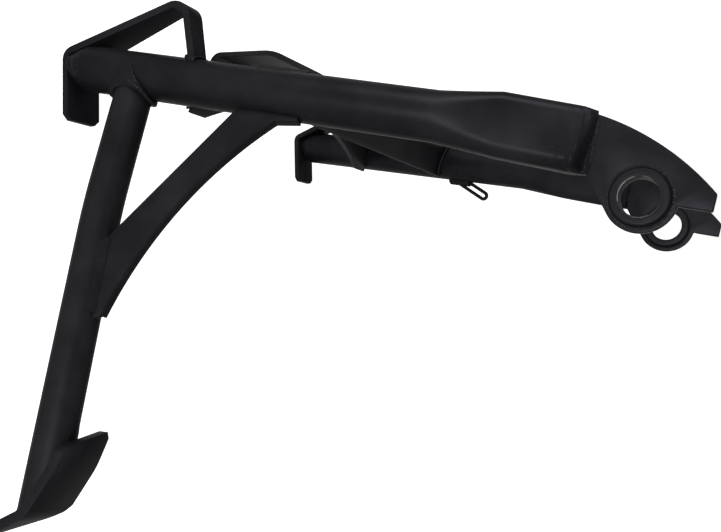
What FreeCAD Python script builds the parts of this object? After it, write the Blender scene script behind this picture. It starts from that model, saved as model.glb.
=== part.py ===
import FreeCAD, Part
import math
import os

# Centre stand of a motorcycle, in millimetres, in its working pose.
# X points forward, Y to the left and Z up.  The origin is the middle of the pivot axis.

V = FreeCAD.Vector
ORIGIN = V(0, 0, 0)
FORWARD = V(1, 0, 0)
LEFT = V(0, 1, 0)
UP = V(0, 0, 1)

# Driving dimensions

sizes = {
    # legs
    "stand_height": 369.4,
    "leg_dia": 32.0,
    "leg_wall": 2.5,
    "leg_top_forward": 30.85,
    "leg_foot_forward": 119.2,
    "leg_top_half_span": 84.0,
    "leg_foot_half_span": 156.5,
    "leg_end_above_ground": 16.0,
    "flat_start": 118.0,
    "flat_full": 80.0,
    "crimp_start": 33.0,
    "crimp_end": 25.0,
    "flat_height": 39.0,
    "flat_thick": 22.0,
    "crimp_height": 37.0,
    "crimp_gap": 5.6,
    "flat_lean": 3.0,
    "flat_corner": 8.0,
    "crimp_corner": 4.0,
    # pivot plates and bosses
    "plate_span": 185.0,
    "plate_thick": 6.0,
    "lobe_radius": 19.8,
    "plate_front_radius": 150.0,
    "nose_tip_forward": -1.6,
    "nose_tip_up": 38.3,
    "nose_rear_forward": -10.9,
    "nose_rear_up": 35.8,
    "notch_forward": -7.4,
    "notch_up": 21.6,
    "tongue_width": 26.0,
    "tongue_length": 20.0,
    "plate_shoulder_front": 16.6,
    "plate_shoulder_rear": 17.6,
    "bore_dia": 22.0,
    "bore_chamfer": 0.7,
    "boss_dia": 32.0,
    "boss_out": 4.0,
    "boss_in": 3.0,
    "boss_edge": 0.5,
    "boss_mark_dia": 2.4,
    "boss_mark_depth": 1.2,
    "boss_mark_radius": 13.4,
    # foot straps
    "strap_thick": 4.9,
    "strap_beyond_leg": 9.1,
    "strap_width": 29.0,
    "strap_top_beyond_leg": 9.118,
    "strap_top_width": 14.2,
    "strap_taper_start": 8.0,
    "strap_toe_forward": 78.6,
    "strap_bend_forward": 127.4,
    "strap_ridge_forward": 155.0,
    "strap_ridge_drop": 272.5,
    "strap_top_lean": 0.108,
    "strap_bend_radius": 8.0,
    "strap_ridge_radius": 12.0,
    "strap_toe_corner": 4.0,
    # cross brace
    "brace_thick": 3.5,
    "brace_end_inset": 9.0,
    "brace_front_edge_forward": 62.5,
    "brace_front_edge_drop": 197.5,
    "brace_nose_forward": 91.5,
    "brace_nose_drop": 182.5,
    "brace_crown_forward": 116.0,
    "brace_crown_drop": 223.0,
    "brace_back_forward": 119.5,
    "brace_back_drop": 266.0,
    "brace_rear_edge_forward": 80.0,
    "brace_rear_edge_drop": 286.0,
    "brace_nose_radius": 12.0,
    "brace_crown_radius": 30.0,
    "brace_back_radius": 8.0,
    "brace_arch_forward": 106.0,
    "brace_arch_radius": 260.0,
    # foot lever with its gusset and pad
    "lever_dia": 25.4,
    "lever_wall": 2.5,
    "lever_root_above_sole": 50.2,
    "lever_out_angle": 14.1,
    "lever_down_angle": 1.96,
    "lever_root_rise": 3.3,
    "lever_bend_run": 97.0,
    "lever_bend_rise": -2.1,
    "lever_bend_radius": 500.0,
    "lever_end_rise": 2.1,
    "pad_width": 40.0,
    "pad_thick": 6.0,
    "pad_top_run": 240.0,
    "pad_end_slant": 10.0,
    "pad_top_rise": 25.6,
    "pad_mid_run": 262.0,
    "pad_mid_rise": 20.4,
    "pad_knee_run": 292.0,
    "pad_knee_rise": 6.4,
    "pad_tip_run": 304.0,
    "pad_tip_rise": -13.0,
    "pad_mid_radius": 60.0,
    "pad_knee_radius": 16.0,
    "pad_corner": 4.0,
    "gusset_thick": 4.0,
    "gusset_face": 5.0,
    "gusset_flange": 8.0,
    "gusset_top_inner_rise": 94.7,
    "gusset_top_outer_run": 36.6,
    "gusset_top_outer_rise": 110.3,
    "gusset_tail_run": 36.6,
    "gusset_tail_rise": 126.3,
    "gusset_toe_outer_run": 171.1,
    "gusset_toe_length": 39.6,
    "gusset_toe_outer_rise": 16.5,
    "gusset_toe_lip": 7.9,
    "gusset_curve_run": 82.4,
    "gusset_curve_rise": 63.6,
    # spring hanger on the right leg
    "hanger_drop": 176.0,
    "hanger_wire": 3.2,
    "hanger_width": 9.0,
    "hanger_length": 31.0,
    "hanger_angle": 53.0,
    "hanger_root": 6.0,
    "hanger_weld_length": 22.0,
    "hanger_weld_dia": 9.0,
    # weld beads
    "weld_leg": 4.0,
    "strap_weld": 2.0,
    "brace_weld": 3.0,
    "boss_weld": 3.2,
    "plate_weld": 3.0,
    "foot_weld": 6.0,
    "gusset_weld": 2.5,
}

doc = FreeCAD.newDocument("centre_stand")
sheet = doc.addObject("Spreadsheet::Sheet", "sizes")
for row, (name, value) in enumerate(sizes.items(), start=1):
    sheet.set(f"A{row}", name)
    sheet.set(f"B{row}", str(value))
    sheet.setAlias(f"B{row}", name)
doc.recompute()


def size(name):
    return float(sheet.get(name))


# Frames: each leg's axis, and the plane of the left leg and the lever

def leg_point(side, drop):
    """Point of a leg's axis that lies this far below the pivot."""
    share = drop / size("stand_height")
    forward = size("leg_top_forward") * (1 - share) + size("leg_foot_forward") * share
    span = size("leg_top_half_span") * (1 - share) + size("leg_foot_half_span") * share
    return V(forward, side * span, -drop)


def leg_axis(side):
    return (leg_point(side, 0) - leg_point(side, size("stand_height"))).normalize()


def leg_frame(side):
    """Z runs up the leg, X points forward, and the origin is level with the pivot."""
    along = leg_axis(side)
    forward = (FORWARD - along * along.dot(FORWARD)).normalize()
    turn = FreeCAD.Rotation(forward, along.cross(forward), along, "ZXY")
    return FreeCAD.Placement(leg_point(side, 0), turn)


def lever_frame():
    """X runs out along the lever, Y up the leg and Z out of their common plane."""
    out = math.radians(size("lever_out_angle"))
    down = math.radians(size("lever_down_angle"))
    along = V(-math.cos(down) * math.cos(out), math.cos(down) * math.sin(out), -math.sin(down))
    normal = leg_axis(1).cross(along).normalize()
    if normal.dot(LEFT) < 0:
        normal = normal * -1
    turn = FreeCAD.Rotation(along, normal.cross(along), normal, "XZY")
    root_drop = size("stand_height") - size("lever_root_above_sole")
    return FreeCAD.Placement(leg_point(1, root_drop), turn)


def gusset_leg_frame():
    """Z runs up the left leg from the lever, X towards the gusset, Y outwards."""
    plane = lever_frame()
    along = leg_axis(1)
    outward = plane.Rotation.multVec(UP)
    turn = FreeCAD.Rotation(outward.cross(along), outward, along, "ZYX")
    return FreeCAD.Placement(plane.Base, turn)


# Sketch helpers

def unit(vector):
    return V(vector).normalize()


def meet(a, b, c, d):
    """Crossing of the lines a-b and c-d in the sketch plane."""
    r = b - a
    s = d - c
    cross = r.x * s.y - r.y * s.x
    share = ((c.x - a.x) * s.y - (c.y - a.y) * s.x) / cross
    return a + r * share


def shifted(points, distance):
    """The open path moved sideways, to its left where the distance is positive."""
    lines = []
    for a, b in zip(points, points[1:]):
        direction = unit(b - a)
        step = V(-direction.y, direction.x, 0) * distance
        lines.append((a + step, b + step))
    moved = [lines[0][0]]
    for first, second in zip(lines, lines[1:]):
        moved.append(meet(first[0], first[1], second[0], second[1]))
    moved.append(lines[-1][1])
    return moved


def rounded(points, radii):
    """Closed outline of lines, with an arc at each point whose radius isn't zero."""
    starts = []
    ends = []
    arcs = []
    count = len(points)
    for i in range(count):
        corner = points[i]
        back = unit(points[i - 1] - corner)
        ahead = unit(points[(i + 1) % count] - corner)
        if radii[i] <= 0:
            starts.append(corner)
            ends.append(corner)
            arcs.append(None)
            continue
        half = math.acos(max(-1.0, min(1.0, back.dot(ahead)))) / 2
        reach = radii[i] / math.tan(half)
        centre = corner + unit(back + ahead) * (radii[i] / math.sin(half))
        starts.append(corner + back * reach)
        ends.append(corner + ahead * reach)
        middle = centre + unit(corner - centre) * radii[i]
        arcs.append(Part.Arc(starts[i], middle, ends[i]))
    outline = []
    for i in range(count):
        if arcs[i]:
            outline.append(arcs[i])
        following = starts[(i + 1) % count]
        if (following - ends[i]).Length > 1e-6:
            outline.append(Part.LineSegment(ends[i], following))
    return outline


def band(points, radii, thickness):
    """Closed outline of a bent sheet: the path, and the same path moved to its left."""
    inner = shifted(points, thickness)
    inner_radii = []
    for i, radius in enumerate(radii):
        if radius <= 0:
            inner_radii.append(0)
            continue
        first = points[i] - points[i - 1]
        second = points[i + 1] - points[i]
        turns_left = first.x * second.y - first.y * second.x > 0
        change = -thickness if turns_left else thickness
        inner_radii.append(max(radius + change, 0))
    return rounded(points + inner[::-1], radii + inner_radii[::-1])


def body(label, placement=None):
    made = doc.addObject("PartDesign::Body", label)
    made.Label = label
    if placement:
        made.Placement = placement
    return made


def sketch(owner, role, geometry, offset=None):
    """Sketch on one of the body's origin planes, moved by an offset in that plane's frame."""
    drawn = owner.newObject("Sketcher::SketchObject", owner.Label + "_sketch")
    base = next(item for item in owner.Origin.OriginFeatures if item.Role == role)
    drawn.AttachmentSupport = [(base, "")]
    drawn.MapMode = "FlatFace"
    if offset:
        drawn.AttachmentOffset = FreeCAD.Placement(offset, FreeCAD.Rotation())
    drawn.addGeometry(geometry, False)
    return drawn


def feature(owner, kind, profile, **settings):
    made = owner.newObject("PartDesign::" + kind, owner.Label + "_" + kind.lower())
    made.Profile = profile
    for name, value in settings.items():
        setattr(made, name, value)
    return made


def circle(radius):
    return Part.Circle(ORIGIN, UP, radius)


def boolean(kind, label, base, tool):
    made = doc.addObject("Part::" + kind, label)
    made.Label = label
    made.Base = base
    made.Tool = tool
    return made


def rod(label, radius, length, placement):
    """Solid cylinder along the Z axis of its placement."""
    made = doc.addObject("Part::Cylinder", label)
    made.setExpression("Radius", radius)
    made.Height = length
    made.Placement = placement
    return made


nodes = []
sides = {"left": 1, "right": -1}


def keep(item):
    nodes.append(item)
    return item


# Envelopes: the solid rounds of the legs and the lever, which cope what is welded to them

leg_run = leg_point(1, 0).distanceToPoint(leg_point(1, size("stand_height")))
leg_rods = {}
leg_seam_rods = {}
for name, side in sides.items():
    low_end = leg_frame(side)
    low_end.Base = leg_point(side, size("stand_height") + 30)
    rod_length = leg_run - size("flat_start") + 30
    leg_rods[name] = rod(name + "_leg_round", "sizes.leg_dia / 2", rod_length, low_end)
    leg_seam_rods[name] = rod(
        name + "_leg_seam_reach", "sizes.leg_dia / 2 + sizes.brace_weld", rod_length, low_end
    )

lever_place = lever_frame()
lever_reach = size("pad_tip_run") + 20
lever_points = [
    V(0, size("lever_root_rise"), 0),
    V(size("lever_bend_run"), size("lever_bend_rise"), 0),
    V(lever_reach, size("lever_end_rise"), 0),
]


def swept_lever(label, section):
    """The section's circles swept along the lever's slightly bent line."""
    start, bend, end = lever_points
    back = unit(start - bend)
    ahead = unit(end - bend)
    half = math.acos(back.dot(ahead)) / 2
    reach = size("lever_bend_radius") / math.tan(half)
    centre = bend + unit(back + ahead) * (size("lever_bend_radius") / math.sin(half))
    crest = centre + unit(bend - centre) * size("lever_bend_radius")
    swept = body(label, lever_place)
    path = sketch(swept, "XY_Plane", [
        Part.LineSegment(start, bend + back * reach),
        Part.Arc(bend + back * reach, crest, bend + ahead * reach),
        Part.LineSegment(bend + ahead * reach, end),
    ])
    profile = swept.newObject("Sketcher::SketchObject", label + "_section")
    profile.AttachmentSupport = [(path, "Edge1")]
    profile.MapMode = "NormalToEdge"
    profile.addGeometry(section, False)
    doc.recompute()
    pipe = swept.newObject("PartDesign::AdditivePipe", label + "_sweep")
    pipe.Profile = profile
    pipe.Spine = (path, ["Edge1", "Edge2", "Edge3"])
    return swept


lever_round = swept_lever("lever_round", [circle(size("lever_dia") / 2)])


# Pivot plates

def tube_end_centre():
    """Middle of the crimped tube end, in the plate's sketch."""
    along = V(leg_axis(1).x, leg_axis(1).z, 0)
    forward = V(along.y, -along.x, 0).normalize()
    on_axis = V(size("leg_top_forward"), 0, 0) - along * size("crimp_end")
    return on_axis - forward * size("flat_lean"), unit(along), forward


def plate_outline():
    centre, along, forward = tube_end_centre()
    nose_tip = V(size("nose_tip_forward"), size("nose_tip_up"), 0)
    nose_rear = V(size("nose_rear_forward"), size("nose_rear_up"), 0)
    notch = V(size("notch_forward"), size("notch_up"), 0)
    front = centre + forward * size("plate_shoulder_front")
    rear = centre - forward * size("plate_shoulder_rear")
    tongue = forward * (size("tongue_width") / 2)
    depth = along * size("tongue_length")
    lobe = size("lobe_radius")

    # front edge, an arc of the given radius from the tube end to the nose
    chord = nose_tip - front
    sag = size("plate_front_radius")
    sag -= math.sqrt(size("plate_front_radius") ** 2 - chord.Length ** 2 / 4)
    outward = unit(V(chord.y, -chord.x, 0))
    crest = (front + nose_tip) * 0.5 + outward * sag

    # round lobe, from the notch to the tangent point of the rear edge
    start_angle = math.atan2(notch.y, notch.x)
    start = V(math.cos(start_angle), math.sin(start_angle), 0) * lobe
    bearing = math.atan2(rear.y, rear.x)
    tangent_angle = bearing - math.acos(lobe / rear.Length)
    leave = V(math.cos(tangent_angle), math.sin(tangent_angle), 0) * lobe
    half_turn = (2 * math.pi + tangent_angle - start_angle) / 2
    opposite = V(math.cos(start_angle + half_turn), math.sin(start_angle + half_turn), 0) * lobe

    return [
        Part.Arc(front, crest, nose_tip),
        Part.LineSegment(nose_tip, nose_rear),
        Part.LineSegment(nose_rear, notch),
        Part.LineSegment(notch, start),
        Part.Arc(start, opposite, leave),
        Part.LineSegment(leave, rear),
        Part.LineSegment(rear, centre - tongue),
        Part.LineSegment(centre - tongue, centre - tongue - depth),
        Part.LineSegment(centre - tongue - depth, centre + tongue - depth),
        Part.LineSegment(centre + tongue - depth, centre + tongue),
        Part.LineSegment(centre + tongue, front),
    ]


plates = {}
for name, side in sides.items():
    middle = side * (size("plate_span") - size("plate_thick")) / 2
    plate = body(name + "_pivot_plate", FreeCAD.Placement(V(0, middle, 0), FreeCAD.Rotation()))
    outline = sketch(plate, "XZ_Plane", plate_outline())
    pad = feature(plate, "Pad", outline, Midplane=True)
    pad.setExpression("Length", "sizes.plate_thick")
    hole = sketch(plate, "XZ_Plane", [circle(size("boss_dia") / 2)])
    feature(plate, "Pocket", hole, Type=1, Midplane=True)
    plates[name] = keep(plate)


# Pivot bosses, turned, with a chamfered bore and a punched mark on the outer face

for name, side in sides.items():
    outer_face = side * (size("plate_span") / 2 + size("boss_out"))
    inner_face = side * (size("plate_span") / 2 - size("plate_thick") - size("boss_in"))
    step = side * size("bore_chamfer")
    edge = side * size("boss_edge")
    bore = size("bore_dia") / 2
    rim = size("boss_dia") / 2
    ring = rounded(
        [
            V(bore, inner_face + step, 0),
            V(bore + size("bore_chamfer"), inner_face, 0),
            V(rim - size("boss_edge"), inner_face, 0),
            V(rim, inner_face + edge, 0),
            V(rim, outer_face - edge, 0),
            V(rim - size("boss_edge"), outer_face, 0),
            V(bore + size("bore_chamfer"), outer_face, 0),
            V(bore, outer_face - step, 0),
        ],
        [0] * 8,
    )
    boss = body(name + "_pivot_boss")
    profile = sketch(boss, "XY_Plane", ring)
    feature(boss, "Revolution", profile, ReferenceAxis=(profile, ["V_Axis"]), Angle=360)
    mark = Part.Circle(V(0, size("boss_mark_radius"), 0), UP, size("boss_mark_dia") / 2)
    spot = sketch(boss, "XZ_Plane", [mark], V(0, 0, -outer_face))
    feature(boss, "Pocket", spot, Length=size("boss_mark_depth"), Reversed=side < 0)
    keep(boss)


# Leg tubes: round below, flattened above and crimped on to the pivot plate

def tube_section(width, thickness, corner, lean, shift):
    """Oblong of four sides and four corner arcs, so that every section has eight edges."""
    x = width / 2
    y = thickness / 2
    r = min(corner, y - 0.05)
    diagonal = r * (1 - math.sqrt(0.5))
    edges = []
    corners = [(1, 1), (-1, 1), (-1, -1), (1, -1)]
    for i, (sx, sy) in enumerate(corners):
        side_point = V(sx * x, sy * (y - r), 0)
        end_point = V(sx * (x - r), sy * y, 0)
        middle = V(sx * (x - diagonal), sy * (y - diagonal), 0)
        first, last = (side_point, end_point) if sx * sy > 0 else (end_point, side_point)
        edges.append(Part.Arc(first, middle, last))
        nx, ny = corners[(i + 1) % 4]
        if sy == ny:
            following = V(nx * (x - r), ny * y, 0)
        else:
            following = V(nx * x, ny * (y - r), 0)
        edges.append(Part.LineSegment(last, following))
    for edge in edges:
        edge.translate(V(-lean, shift, 0))
    return edges


def round_section(radius, corner_share):
    """The same eight edges on a circle: short arcs for the corners, long ones for the sides."""
    spread = math.radians(corner_share)
    edges = []
    for i in range(4):
        centre = math.radians(45 + 90 * i)
        edges.append((centre - spread, centre + spread))
        edges.append((centre + spread, centre + math.pi / 2 - spread))
    arcs = []
    for begin, end in edges:
        points = [begin, (begin + end) / 2, end]
        arcs.append(Part.Arc(*[V(math.cos(a), math.sin(a), 0) * radius for a in points]))
    return arcs


def plate_shift(side, run):
    """Sideways step from the leg's axis to the plate's middle, this far down the axis."""
    drop = run * leg_axis(side).z
    middle = (size("plate_span") - size("plate_thick")) / 2
    return side * (middle - abs(leg_point(side, drop).y))


for name, side in sides.items():
    tube = body(name + "_leg_blank", leg_frame(side))
    wall = size("leg_wall")
    outer_radius = size("leg_dia") / 2
    end_run = leg_run - size("leg_end_above_ground") / leg_axis(side).z
    end_shift = plate_shift(side, size("crimp_end"))
    start_shift = plate_shift(side, size("crimp_start"))
    flat_shift = start_shift / 2

    low = sketch(tube, "XY_Plane", [circle(outer_radius), circle(outer_radius - wall)],
                 V(0, 0, -end_run))
    feature(tube, "Pad", low, Length=end_run - size("flat_start"))

    outer_sections = []
    inner_sections = []
    for inner, sections in ((0, outer_sections), (wall, inner_sections)):
        sections.append(sketch(tube, "XY_Plane", round_section(outer_radius - inner, 22),
                               V(0, 0, -size("flat_start"))))
        sections.append(sketch(tube, "XY_Plane", tube_section(
            size("flat_height") - 2 * inner, size("flat_thick") - 2 * inner,
            size("flat_corner") - inner, 0, flat_shift), V(0, 0, -size("flat_full"))))
        sections.append(sketch(tube, "XY_Plane", tube_section(
            size("flat_height") - 2 * inner, size("flat_thick") - 2 * inner,
            size("flat_corner") - inner, size("flat_lean") * 0.8, start_shift),
            V(0, 0, -size("crimp_start"))))
        sections.append(sketch(tube, "XY_Plane", tube_section(
            size("crimp_height") - 2 * inner, size("crimp_gap") + 2 * (wall - inner),
            size("crimp_corner") - inner, size("flat_lean"), end_shift),
            V(0, 0, -size("crimp_end"))))
    feature(tube, "AdditiveLoft", outer_sections[0], Sections=outer_sections[1:], Ruled=True)
    feature(tube, "SubtractiveLoft", inner_sections[0], Sections=inner_sections[1:], Ruled=True)

    # Room for the foot strap, which the tube's lower end is trimmed to
    keep_out = body(name + "_strap_room")
    ground = -size("stand_height")
    inner_ground = ground + size("strap_thick")
    ridge = V(size("strap_ridge_forward"), -size("strap_ridge_drop"), 0)
    bend = V(size("strap_bend_forward"), ground, 0)
    inner_path = shifted([V(size("strap_toe_forward"), ground, 0), bend, ridge],
                         size("strap_thick"))
    trim = rounded(
        [
            V(0, inner_ground, 0),
            inner_path[1],
            inner_path[2],
            inner_path[2] + V(60, 0, 0),
            V(inner_path[2].x + 60, ground - 60, 0),
            V(0, ground - 60, 0),
        ],
        [0, size("strap_bend_radius") - size("strap_thick"), 0, 0, 0, 0],
    )
    room = sketch(keep_out, "XZ_Plane", trim)
    feature(keep_out, "Pad", room, Midplane=True, Length=2.4 * size("leg_foot_half_span"))
    trimmed = boolean("Cut", name + "_leg_trimmed", tube, keep_out)
    keep(boolean("Cut", name + "_leg_tube", trimmed, plates[name]))


# Foot straps: flat bar bent into a sole, a tapering run and a short run back to the leg

def strap_path():
    ground = -size("stand_height")
    toe = V(size("strap_toe_forward"), ground, 0)
    bend = V(size("strap_bend_forward"), ground, 0)
    ridge = V(size("strap_ridge_forward"), -size("strap_ridge_drop"), 0)
    fall = size("strap_ridge_forward") - leg_point(1, size("strap_ridge_drop")).x
    end = ridge + V(-fall, size("strap_top_lean") * fall, 0)
    return [toe, bend, ridge, end]


def strap_edges():
    """Distances from the middle plane: the sole's two edges, then the upper end's two."""
    near = size("leg_foot_half_span") + size("strap_beyond_leg")
    top_near = leg_point(1, size("strap_ridge_drop")).y + size("strap_top_beyond_leg")
    return near, near - size("strap_width"), top_near, top_near - size("strap_top_width")


strap_near, strap_far, strap_top_near, strap_top_far = strap_edges()


def strap_sides(side):
    """Two regions beside the strap that are cut away, seen along X."""
    ground = -size("stand_height")
    top = -size("strap_ridge_drop") + 20
    start = ground + size("strap_taper_start")
    share = (top - start) / (-size("strap_ridge_drop") - start)
    near_top = strap_near + (strap_top_near - strap_near) * share
    far_top = strap_far + (strap_top_far - strap_far) * share
    regions = []
    for low, high, far in (
        (strap_near, near_top, strap_near + 60),
        (strap_far, far_top, strap_far - 60),
    ):
        corners = [
            V(side * low, ground - 5, 0),
            V(side * low, start, 0),
            V(side * high, top, 0),
            V(side * far, top, 0),
            V(side * far, ground - 5, 0),
        ]
        regions.append(rounded(corners, [0] * 5))
    return regions


straps = {}
for name, side in sides.items():
    blank = body(name + "_strap_blank")
    radii = [0, size("strap_bend_radius"), size("strap_ridge_radius"), 0]
    profile = sketch(blank, "XZ_Plane", band(strap_path(), radii, size("strap_thick")),
                     V(0, 0, -side * (strap_near + 10)))
    reach = strap_near - strap_top_far + 25
    feature(blank, "Pad", profile, Length=reach, Reversed=side < 0)
    for region in strap_sides(side):
        trim = sketch(blank, "YZ_Plane", region)
        feature(blank, "Pocket", trim, Type=1, Midplane=True)
    corner = size("strap_toe_corner")
    toe = size("strap_toe_forward")
    for edge_line, inward in ((strap_near, -1), (strap_far, 1)):
        tip = V(toe, side * edge_line, 0)
        nick = rounded(
            [
                tip + V(-1, side * -inward, 0),
                tip + V(corner * 1.5, side * -inward, 0),
                tip + V(corner, 0, 0),
                tip + V(0, side * inward * corner, 0),
                tip + V(-1, side * inward * corner, 0),
            ],
            [0] * 5,
        )
        trim = sketch(blank, "XY_Plane", nick, V(0, 0, -size("stand_height") - 5))
        feature(blank, "Pocket", trim, Length=20, Reversed=True)
    solid_leg = boolean("Cut", name + "_leg_above_strap", leg_rods[name],
                        doc.getObject(name + "_strap_room"))
    straps[name] = keep(boolean("Cut", name + "_foot_strap", blank, solid_leg))


# Cross brace: pressed channel between the legs, open at the back, arched at its rear edge

def brace_path():
    return [
        V(size("brace_front_edge_forward"), -size("brace_front_edge_drop"), 0),
        V(size("brace_nose_forward"), -size("brace_nose_drop"), 0),
        V(size("brace_crown_forward"), -size("brace_crown_drop"), 0),
        V(size("brace_back_forward"), -size("brace_back_drop"), 0),
        V(size("brace_rear_edge_forward"), -size("brace_rear_edge_drop"), 0),
    ]


brace_radii = [0, size("brace_nose_radius"), size("brace_crown_radius"),
               size("brace_back_radius"), 0]


def brace_blank(label, outline):
    """Extruded between the legs, with ends that follow their slope."""
    blank = body(label)
    width = 2 * size("leg_foot_half_span")
    feature(blank, "Pad", sketch(blank, "XZ_Plane", outline), Midplane=True, Length=width)
    top = size("brace_nose_drop") - 40
    bottom = size("brace_rear_edge_drop") + 40
    for side in sides.values():
        inset = V(side * size("brace_end_inset"), 0, 0)
        upper = leg_point(side, top)
        lower = leg_point(side, bottom)
        beyond = side * (size("leg_foot_half_span") + 40)
        region = rounded(
            [
                V(upper.y, upper.z, 0) - inset,
                V(lower.y, lower.z, 0) - inset,
                V(beyond, lower.z, 0),
                V(beyond, upper.z, 0),
            ],
            [0] * 4,
        )
        feature(blank, "Pocket", sketch(blank, "YZ_Plane", region), Type=1, Midplane=True)
    return blank


brace = brace_blank("brace_blank", band(brace_path(), brace_radii, -size("brace_thick")))
arch_centre = V(size("brace_arch_forward") - size("brace_arch_radius"), 0, 0)
arch = Part.Circle(arch_centre, UP, size("brace_arch_radius"))
arch_level = (size("brace_nose_drop") + size("brace_rear_edge_drop")) / 2
arch_cut = sketch(brace, "XY_Plane", [arch], V(0, 0, -arch_level))
feature(brace, "Pocket", arch_cut, Length=size("brace_rear_edge_drop"))
coped = boolean("Cut", "brace_left_coped", brace, leg_rods["left"])
brace_node = keep(boolean("Cut", "cross_brace", coped, leg_rods["right"]))


# Foot lever: tube, gusset and pad, in the plane of the left leg and the lever

def pad_path():
    return [
        V(size("pad_top_run"), size("pad_top_rise"), 0),
        V(size("pad_mid_run"), size("pad_mid_rise"), 0),
        V(size("pad_knee_run"), size("pad_knee_rise"), 0),
        V(size("pad_tip_run"), size("pad_tip_rise"), 0),
    ]


pad_radii = [0, size("pad_mid_radius"), size("pad_knee_radius"), 0]


def beyond_pad():
    """Everything on the far side of the pad's inner face, seen along the pad's width."""
    inner = shifted(pad_path(), -size("pad_thick"))
    radii = [0, size("pad_mid_radius") - size("pad_thick"),
             size("pad_knee_radius") - size("pad_thick"), 0]
    clear = 3 * size("lever_dia")
    far = [V(size("pad_tip_run") + clear, -clear, 0), V(size("pad_tip_run") + clear, clear, 0),
           V(size("pad_top_run"), clear, 0)]
    last = inner[-1] + V(0, -clear / 2, 0)
    return rounded(inner + [last] + far, radii + [0, 0, 0, 0])


outer = size("lever_dia") / 2
lever_blank = swept_lever("lever_blank", [circle(outer), circle(outer - size("lever_wall"))])
pad_room = body("pad_room", lever_place)
feature(pad_room, "Pad", sketch(pad_room, "XY_Plane", beyond_pad()), Midplane=True,
        Length=2 * size("pad_width"))
lever_cut = boolean("Cut", "lever_trimmed", lever_blank, pad_room)
lever = keep(boolean("Cut", "lever_tube", lever_cut, leg_rods["left"]))

pad_body = body("lever_pad", lever_place)
pad_profile = sketch(pad_body, "XY_Plane", band(pad_path(), pad_radii, -size("pad_thick")))
feature(pad_body, "Pad", pad_profile, Midplane=True, Length=size("pad_width"))
half = size("pad_width") / 2
slant = size("pad_end_slant")
nick = size("pad_corner")
top_near = V(size("pad_top_run") + slant, half, 0)
top_far = V(size("pad_top_run"), -half, 0)
tip_near = V(size("pad_tip_run"), half, 0)
tip_far = V(size("pad_tip_run") - slant * 1.4, -half, 0)
for near, far, away in ((top_near, top_far, -1), (tip_near, tip_far, 1)):
    trim = rounded(
        [
            near + V(away * 40, 5, 0),
            near + V(-away * nick, 5, 0),
            near + V(-away * nick, 0, 0),
            near + V(0, -nick, 0),
            far + V(0, nick, 0),
            far + V(-away * nick, 0, 0),
            far + V(-away * nick, -5, 0),
            far + V(away * 40, -5, 0),
        ],
        [0] * 8,
    )
    feature(pad_body, "Pocket", sketch(pad_body, "XZ_Plane", trim), Type=1, Midplane=True)
keep(pad_body)


def gusset_points():
    """Corners of the gusset: four along the leg, three on the lever, and the curve's middle."""
    slope = lever_place.Rotation.inverted().multVec(leg_axis(1))
    lean = slope.x / slope.y
    inner_rise = size("gusset_top_inner_rise")
    tail_rise = size("gusset_tail_rise")
    return {
        "top_inner": V(inner_rise * lean, inner_rise, 0),
        "tail_inner": V(tail_rise * lean, tail_rise, 0),
        "tail_outer": V(size("gusset_tail_run"), tail_rise, 0),
        "top_outer": V(size("gusset_top_outer_run"), size("gusset_top_outer_rise"), 0),
        "toe_inner": V(size("gusset_toe_outer_run") - size("gusset_toe_length"), 0, 0),
        "toe_outer": V(size("gusset_toe_outer_run"), size("gusset_toe_outer_rise"), 0),
        "toe_end": V(size("gusset_toe_outer_run") + size("gusset_toe_lip"), 0, 0),
        "curve": V(size("gusset_curve_run"), size("gusset_curve_rise"), 0),
    }


corner = gusset_points()
web_arc = Part.Arc(corner["top_outer"], corner["curve"], corner["toe_outer"])
arc_curve = web_arc.toShape().Curve
arc_centre = arc_curve.Center
inner_radius = arc_curve.Radius + size("gusset_thick")


def on_inner_arc(point):
    return arc_centre + unit(point - arc_centre) * inner_radius


gusset_blank = body("gusset_blank", lever_place)
face = size("gusset_face")
web = sketch(gusset_blank, "XY_Plane", [
    web_arc,
    Part.LineSegment(corner["toe_outer"], corner["toe_end"]),
    Part.LineSegment(corner["toe_end"], corner["toe_inner"]),
    Part.LineSegment(corner["toe_inner"], corner["top_inner"]),
    Part.LineSegment(corner["top_inner"], corner["tail_inner"]),
    Part.LineSegment(corner["tail_inner"], corner["tail_outer"]),
    Part.LineSegment(corner["tail_outer"], corner["top_outer"]),
], V(0, 0, face - size("gusset_thick")))
feature(gusset_blank, "Pad", web, Length=size("gusset_thick"))
flange = sketch(gusset_blank, "XY_Plane", [
    web_arc,
    Part.LineSegment(corner["toe_outer"], on_inner_arc(corner["toe_outer"])),
    Part.Arc(on_inner_arc(corner["toe_outer"]), on_inner_arc(corner["curve"]),
             on_inner_arc(corner["top_outer"])),
    Part.LineSegment(on_inner_arc(corner["top_outer"]), corner["tail_inner"]),
    Part.LineSegment(corner["tail_inner"], corner["tail_outer"]),
    Part.LineSegment(corner["tail_outer"], corner["top_outer"]),
], V(0, 0, face - size("gusset_flange")))
feature(gusset_blank, "Pad", flange, Length=size("gusset_flange"))
gusset_cut = boolean("Cut", "gusset_coped", gusset_blank, leg_rods["left"])
gusset = keep(boolean("Cut", "lever_gusset", gusset_cut, lever_round))


# Spring hanger: a bent wire loop and the weld that holds it under the right leg

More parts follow.
